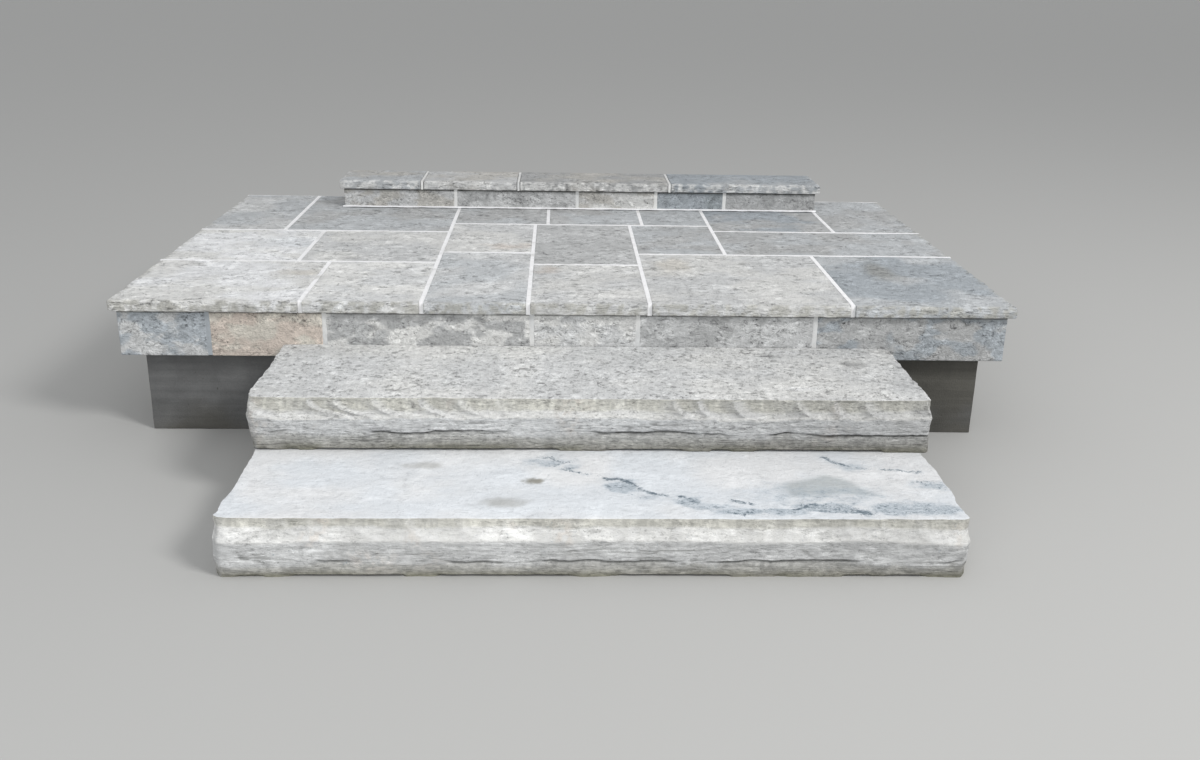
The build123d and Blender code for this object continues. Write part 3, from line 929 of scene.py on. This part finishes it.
# Paving: the two colours of each stone, from left to right along each row. The back row and the
# # cap stones are darker partly as painted shade of a porch roof, and the last edge stone and the
# # last cap stone are bluer partly as painted shade of a planter.
PAVING_COLOURS = {
    "edge_stone": (
        (1.07 * WHITE_STONE, 1.07 * PALE_STONE),
        (1.14 * PALE_STONE, 1.14 * PALE_GREY),
        (1.1 * PALE_GREY, 1.1 * COOL_GREY),
        (PALE_STONE, PALE_GREY),
        (PALE_STONE, PALE_GREY),
        (COOL_GREY, BLUE_GREY),
    ),
    "middle_stone": (
        (1.12 * WHITE_STONE, 1.12 * PALE_STONE),
        (1.03 * PALE_STONE, 1.03 * PALE_GREY),
        (1.04 * PALE_STONE, 1.04 * PALE_GREY),
        (1.06 * PALE_GREY, 1.1 * MID_GREY),
        (COOL_GREY, MID_GREY),
        (COOL_GREY, MID_GREY),
    ),
    "back_stone": (
        (PALE_GREY, COOL_GREY),
        (1.05 * COOL_GREY, 1.05 * MID_GREY),
        (1.05 * COOL_GREY, 1.05 * MID_GREY),
        (1.06 * MID_GREY, 1.06 * COOL_GREY),
        (MID_GREY, COOL_GREY),
        (BLUE_GREY, MID_GREY),
        (MID_GREY, COOL_GREY),
    ),
    "cap_stone": (
        (0.92 * COOL_GREY, 0.9 * WARM_GREY),
        (0.96 * WARM_GREY, 0.92 * PALE_GREY),
        (0.86 * MID_GREY, 0.86 * WARM_GREY),
        (0.9 * COOL_GREY, 0.94 * BLUE_GREY),
    ),
}
# Warmer or darker patches on some of them, as a colour, a place and a half size
PAVING_PATCHES = {
    "edge_stone_1": (BEIGE, (-860, -40), (110, 70)),
    "edge_stone_4": (PINK_BEIGE, (-58, 36), (60, 110)),
    "edge_stone_5": (BEIGE, (349, 97), (80, 150)),
    "edge_stone_6": (0.84 * BROWN_GREY, (1058, 20), (84, 200)),
    "middle_stone_3": (PINK_BEIGE, (-216, 375), (110, 70)),
    "middle_stone_1": (COOL_WHITE, (-1000, 420), (260, 160)),
}
# Facing stones: the same for each row of them
RISER_COLOURS = {
    "riser_stone": (
        (1.18 * BLUE_GREY, 1.08 * PALE_GREY),
        (1.18 * PINK_BEIGE, 1.18 * BEIGE),
        (1.02 * MID_GREY, 1.12 * PALE_STONE),
        (1.06 * PALE_STONE, 1.06 * PALE_GREY),
        (MID_GREY, PALE_GREY),
        (BLUE_GREY, MID_GREY),
    ),
    "door_step_riser": (
        (0.98 * WARM_GREY, PALE_GREY),
        (PALE_GREY, MID_GREY),
        (PALE_STONE, WARM_GREY),
        (1.2 * SLATE, BLUE_GREY),
        (0.85 * MID_GREY, MID_GREY),
    ),
}
SIDE_COLOURS = ((MID_GREY, PALE_STONE), (WARM_GREY, BEIGE), (BLUE_GREY, MID_GREY),
                (PALE_GREY, MID_GREY))


def numbered(rows):
    """The stones of some rows, each as its node, its two colours and its row's outer ends."""
    for row, stones in rows.items():
        for number, colours in enumerate(stones, 1):
            ends = [LEFT] * (number == 1) + [RIGHT] * (number == len(stones))
            yield f"{row}_{number}", colours, ends


def make_paving():
    """The flagstones of the landing and the cap stones of the door step."""
    for number, (node, colours, ends) in enumerate(numbered(PAVING_COLOURS)):
        seed = 60.0 + 3.7 * number
        outer = [FRONT, *ends] if node.startswith(("edge", "cap")) else ends
        shell, rough = flagstone(node, seed, outer)
        points = shell[0]
        tint = PAVING_LIGHTNESS * clouded(points, *colours, seed, (200, 160, 100), 0.4, 0.6)
        if node in PAVING_PATCHES:
            colour, *mark = PAVING_PATCHES[node]
            tint = stain(tint, 0.6 * place_marks(points, [mark], seed), colour)
        worn = ramp(noise(points, 16, 3, seed), 0.4, 0.6)
        edge_colour = 1.2 * PALE_STONE if node.startswith("cap") else 0.98 * OLIVE_GREY
        tint = stain(tint, 0.7 * rough * worn, edge_colour)
        place_piece(f"{node}_cleft", node, shell, "paving_stone", PAVING_STONE, tint, seed, rough=rough)


def place_facing(node, shell, tint, seed):
    """Make a piece of facing stone, which is rough all over."""
    place_piece(f"{node}_split", node, shell, "facing_stone", FACING_STONE, tint, seed, rough=1)


def make_facing():
    """The facing stones of the landing and of the door step."""
    for number, (node, colours, _) in enumerate(numbered(RISER_COLOURS)):
        seed = 200 + 4.3 * number
        low, high = box(node)
        shell = facing_shell(low, high, FRONT, seed)
        tint = FACING_LIGHTNESS * clouded(shell[0], *colours, seed, (60, 60, 35), 0.42, 0.56)
        # Painted shade along the top of each riser stone, under the coping's overhang
        tint = stain(tint, 0.9 * ramp(high[Z] - shell[0][:, Z], 9, 4), 0.8 * DARK_GREY)
        place_facing(node, shell, tint, seed)
    joints = box("riser_stone_1")[0][Y] + SIDE_JOINTS
    for node, side, shift in (("side_risers_left", LEFT, 0), ("side_risers_right", RIGHT, 2)):
        low, high = box(node)
        starts = (low[Y], *(joints + JOINT_WIDTH / 2))
        ends = (*(joints - JOINT_WIDTH / 2), high[Y])
        shells = []
        tints = []
        for number, (start, end) in enumerate(zip(starts, ends)):
            seed = 260 + 5.1 * number + shift
            corners = ((low[X], start, low[Z]), (high[X], end, high[Z]))
            shells.append(facing_shell(*corners, side, seed, SIDE_FACING_STEP))
            colours = SIDE_COLOURS[(number + shift) % len(SIDE_COLOURS)]
            tints.append(clouded(shells[-1][0], *colours, seed, (90, 90, 60)))
        place_facing(node, merged(shells), np.concatenate(tints), 31.0 + shift)
    low, high = box("door_step_ends")
    shell = merged([
        facing_shell((start, *low[1:]), (start + FACING_THICKNESS, *high[1:]), side, 290)
        for side, start in ((LEFT, low[X]), (RIGHT, high[X] - FACING_THICKNESS))
    ])
    tint = clouded(shell[0], MID_GREY, PALE_GREY, 290, (90, 90, 60))
    place_facing("door_step_ends", shell, tint, 37.0)


# Mortar and concrete

def network(low, high, stones, seed):
    """The mortar between stones: the cells of a plan grid that no stone covers, as one shell."""
    inner = np.array(stones) + np.array(((PAVING_TUCK,), (-PAVING_TUCK,)))
    lines = []
    for axis in (X, Y):
        reach = low[axis], high[axis]
        start, *places = np.unique(np.clip(np.round((*reach, *inner[..., axis].ravel()), 2), *reach))
        values = [start]
        for place in places:
            if place - values[-1] > 0.4:
                count = max(1, round((place - values[-1]) / MORTAR_STEP))
                values += list(np.linspace(values[-1], place, count + 1)[1:])
        lines.append(np.array(values))
    middles = [(values[:-1] + values[1:]) / 2 for values in lines]
    open_cell = np.ones([len(middle) for middle in middles], bool)
    for stone in inner:
        covered = [(middle > start) & (middle < end) for middle, start, end in zip(middles, *stone)]
        open_cell &= ~np.outer(*covered)
    padded = np.pad(open_cell, 1)
    corner_used = padded[:-1, :-1] | padded[1:, :-1] | padded[:-1, 1:] | padded[1:, 1:]
    index = np.full(corner_used.shape, -1)
    index[corner_used] = np.arange(corner_used.sum())
    place = np.argwhere(corner_used)
    flat = np.stack((lines[X][place[:, X]], lines[Y][place[:, Y]], np.zeros(len(place))), axis=1)
    upper = flat + (0, 0, high[Z])
    upper[:, Z] -= MORTAR_RELIEF * noise(upper, 26, 3, seed)
    count = len(flat)
    i, j = np.nonzero(open_cell)
    corners = np.stack((index[i, j], index[i + 1, j], index[i + 1, j + 1], index[i, j + 1]), axis=1)
    quads = [corners, corners[:, ::-1] + count]
    for turn, (across, along) in enumerate(((0, -1), (1, 0), (0, 1), (-1, 0))):
        edge = corners[~padded[i + 1 + across, j + 1 + along]]
        first = edge[:, turn]
        second = edge[:, (turn + 1) % 4]
        quads.append(np.stack((first + count, second + count, second, first), axis=1))
    return np.concatenate((upper, flat + (0, 0, low[Z]))), np.concatenate(quads), []


def upright_joints(lines, low, high, along, seed, tuck=FACING_TUCK):
    """Upright mortar joints at the given places along a row of stones."""
    shells = []
    for number, line in enumerate(lines):
        corners = np.array((low, high))
        corners[:, along] = line + (JOINT_WIDTH / 2 + tuck) * np.array((-1, 1))
        shells.append(plain_shell(*corners, JOINT_STEP, seed + number))
    return shells


def row_of(name, count):
    """The first and the last box of a numbered row of stones, and the joints between all."""
    boxes = [box(f"{name}_{number}") for number in range(1, count + 1)]
    lines = [(left[1][X] + right[0][X]) / 2 for left, right in zip(boxes, boxes[1:])]
    return boxes[0], boxes[-1], lines


def make_paving_joints():
    """The paving's mortar bed and the joints between its stones."""
    stones = [box(node) for node, _, _ in numbered(PAVING_COLOURS) if not node.startswith("cap")]
    paving_under = stones[0][0][Z]
    low, high = box("mortar_bed")
    joint_low = low + (BED_INSET, 2.5 * BED_INSET, 0)
    joint_low[Z] = paving_under - 1
    joint_high = (high[X] - BED_INSET, high[Y], stones[0][1][Z] - JOINT_DEPTH)
    joints = network(joint_low, joint_high, stones, 400)
    half_width = box("side_risers_right")[0][X]
    bed = plain_shell((-half_width, box("riser_stone_1")[1][Y], low[Z]),
                      (half_width, high[Y], paving_under), BED_STEP, 401, relief=0)
    shell = merged([joints, bed])
    tint = clouded(shell[0], 1.1 * LIME, PALE_STONE, 402, 60, 0.56, 0.9)
    place_piece("mortar_bed_joints", "mortar_bed", shell, "mortar", MORTAR, tint)


def place_mortar(name, node, shells, seed, first_colour, lightness):
    """Make a piece of mortar from shells, the first of them in a colour of its own."""
    shell = merged(shells)
    tint = lightness * clouded(shell[0], PALE_GREY, PALE_STONE, seed, 100)
    tint[:len(shells[0][0])] = first_colour
    place_piece(name, node, shell, "mortar", MORTAR, tint)


def make_riser_joints():
    """The joints of the landing's facing stones and the mortar behind them."""
    (low, high), _, lines = row_of("riser_stone", 6)
    shells = upright_joints(lines, low + (0, FACING_JOINT_DEPTH, 1), high, X, 410)
    lines = (high[Y] + JOINT_WIDTH / 2, *(low[Y] + SIDE_JOINTS))
    for side, left, right in (("left", FACING_JOINT_DEPTH, 0), ("right", 0, FACING_JOINT_DEPTH)):
        side_low, side_high = box(f"side_risers_{side}")
        shells += upright_joints(lines, side_low + (left, 0, 1), side_high - (right, 0, 0), Y, 420)
    end = side_low[X]
    middle = high[Y] + FACING_MORTAR
    back = box("mortar_bed")[1][Y]
    top = box("edge_stone_1")[0][Z] - BED_THICKNESS
    for left, right, near, far in ((-end, end, high[Y], middle),
                                   (-end, FACING_MORTAR - end, middle, back),
                                   (end - FACING_MORTAR, end, middle, back)):
        shells.append(plain_shell((left, near, low[Z]), (right, far, top), HIDDEN_STEP, 430, 0, 0.5))
    place_mortar("riser_joints", "riser_mortar", shells, 432, BLUE_GREY, lightness=1.06)


def make_door_step_joints():
    """The door step's core, its joints and the fillet of mortar along its foot."""
    (low, high), (_, last_high), lines = row_of("door_step_riser", 5)
    core_low, core_high = box("door_step_core")
    ends_low, ends_high = box("door_step_ends")
    left = ends_low[X] + FACING_THICKNESS
    right = ends_high[X] - FACING_THICKNESS
    foot_low = (low[X] - FOOT_FILLET, low[Y] - FOOT_FILLET, core_low[Z] - 1)
    foot_high = (last_high[X] + FOOT_FILLET, low[Y] + 6, core_low[Z] + 8)
    shells = [plain_shell(foot_low, foot_high, MORTAR_STEP, 461, 3, 3)]
    shells += upright_joints(lines, low + (0, FACING_JOINT_DEPTH, 0), high, X, 440)
    for near, far in ((ends_low[X] + FACING_JOINT_DEPTH, left),
                      (right, ends_high[X] - FACING_JOINT_DEPTH)):
        corners = (near, 0, ends_low[Z]), (far, 0, ends_high[Z])
        shells += upright_joints([high[Y] + JOINT_WIDTH / 2], *corners, Y, 450)
    core = (left, high[Y], core_low[Z]), (right, core_high[Y], high[Z])
    shells.append(plain_shell(*core, BED_STEP, 460, relief=0))
    (low, high), _, lines = row_of("cap_stone", 4)
    shells += upright_joints(lines, low + (0, CAP_JOINT_RECESS, 0), high - (0, 0, 2 * JOINT_DEPTH),
                             X, 470, CAP_TUCK)
    place_mortar("door_step_joints", "door_step_core", shells, 472, 1.1 * LIME, lightness=1.14)


def cast(node, blocks, seed, tint_seed, step=CONCRETE_STEP):
    """A piece of poured concrete from blocks, each given by its low and its high corner."""
    shell = merged([plain_shell(*block, step, seed + number) for number, block in enumerate(blocks)])
    tint = clouded(shell[0], MID_GREY, BROWN_GREY, tint_seed, (300, 300, 200))
    place_piece(f"{node}_cast", node, shell, "concrete", CONCRETE, CONCRETE_LIGHTNESS * tint)


def make_concrete():
    """The foundation walls, the porch slab and the bed behind the lower slab."""
    cast("foundation_front", [box("foundation_front")], 500, 500)
    cast("foundation_back", [box("foundation_back")], 501, 501)
    cast("porch_slab", [box("porch_slab")], 502, 502, HIDDEN_STEP)
    low, high = box("foundation_sides")
    cast("foundation_sides", [(low, (low[X] + FOUNDATION_WALL, *high[1:])),
                              ((high[X] - FOUNDATION_WALL, *low[1:]), high)], 510, 512)
    low, high = box("step_bed")
    slab_under = box("upper_slab")[0][Z]
    riser = box("riser_stone_1")[0]
    cast("step_bed", [(low, (high[X], high[Y], slab_under)),
                      ((low[X], riser[Y], slab_under - 1), (high[X], high[Y], riser[Z]))], 520, 522)


make_slabs()
make_paving()
make_facing()
make_paving_joints()
make_riser_joints()
make_door_step_joints()
make_concrete()


# Stage, light and camera, in metres and degrees
FLOOR_REACH = 400.0
# Place, target, size, power and colour of each light
LIGHTS = {
    "key": ((5.6, -5.4, 6.4), (0.0, -0.2, 0.2), 2.4, 500, (1.0, 0.99, 0.98)),
    "fill": ((-2.4, -6.5, 1.9), (0.0, -0.4, 0.2), 3.0, 95, (0.98, 0.99, 1.0)),
}
SKY_COLOUR = (0.975, 0.985, 1.0, 1)
SKY_STRENGTH = 0.62
CAMERA_PLACE = (-0.031, -3.871, 1.4)
CAMERA_RIGHT_TURN = 2.176
CAMERA_DOWNWARD = 19.406
CAMERA_ROLL = 1.081
LENS = 35.81
UPWARD_SHIFT = 0.0051


def make_stage():
    """A wide pale floor."""
    corners = [(FLOOR_REACH * x, FLOOR_REACH * y, 0) for x, y in ((-1, -1), (1, -1), (1, 1), (-1, 1))]
    mesh = bpy.data.meshes.new("floor")
    mesh.from_pydata(corners, [], [(0, 1, 2, 3)])
    shader = Shader("floor")
    shader.feed(shader.surface.inputs["Base Color"], FLOOR_GREY)
    shader.feed(shader.surface.inputs["Roughness"], 0.95)
    mesh.materials.append(shader.material)
    add_object("floor", mesh)


def make_lights():
    """Two soft square lights that face their targets, and the sky."""
    for name, (place, target, size, power, colour) in LIGHTS.items():
        light = bpy.data.lights.new(name, "AREA")
        light.size = size
        light.energy = power
        light.color = colour
        lamp = add_object(name, light)
        lamp.location = place
        lamp.rotation_euler = (Vector(target) - Vector(place)).to_track_quat("-Z", "Y").to_euler()
    world = bpy.data.worlds.new("sky")
    world.use_nodes = True
    background = world.node_tree.nodes["Background"]
    background.inputs["Color"].default_value = SKY_COLOUR
    background.inputs["Strength"].default_value = SKY_STRENGTH
    bpy.context.scene.world = world


def make_camera():
    """The camera at the photograph's place and angle."""
    data = bpy.data.cameras.new("camera")
    data.lens = LENS
    data.shift_y = UPWARD_SHIFT
    camera = add_object("camera", data)
    matrix = Matrix.Translation(CAMERA_PLACE)
    for angle, axis in ((-CAMERA_RIGHT_TURN, "Z"), (90 - CAMERA_DOWNWARD, "X"), (CAMERA_ROLL, "Z")):
        matrix = matrix @ Matrix.Rotation(radians(angle), 4, axis)
    camera.matrix_world = matrix
    bpy.context.scene.camera = camera


make_stage()
make_camera()
make_lights()
bpy.context.scene.view_settings.view_transform = "Standard"
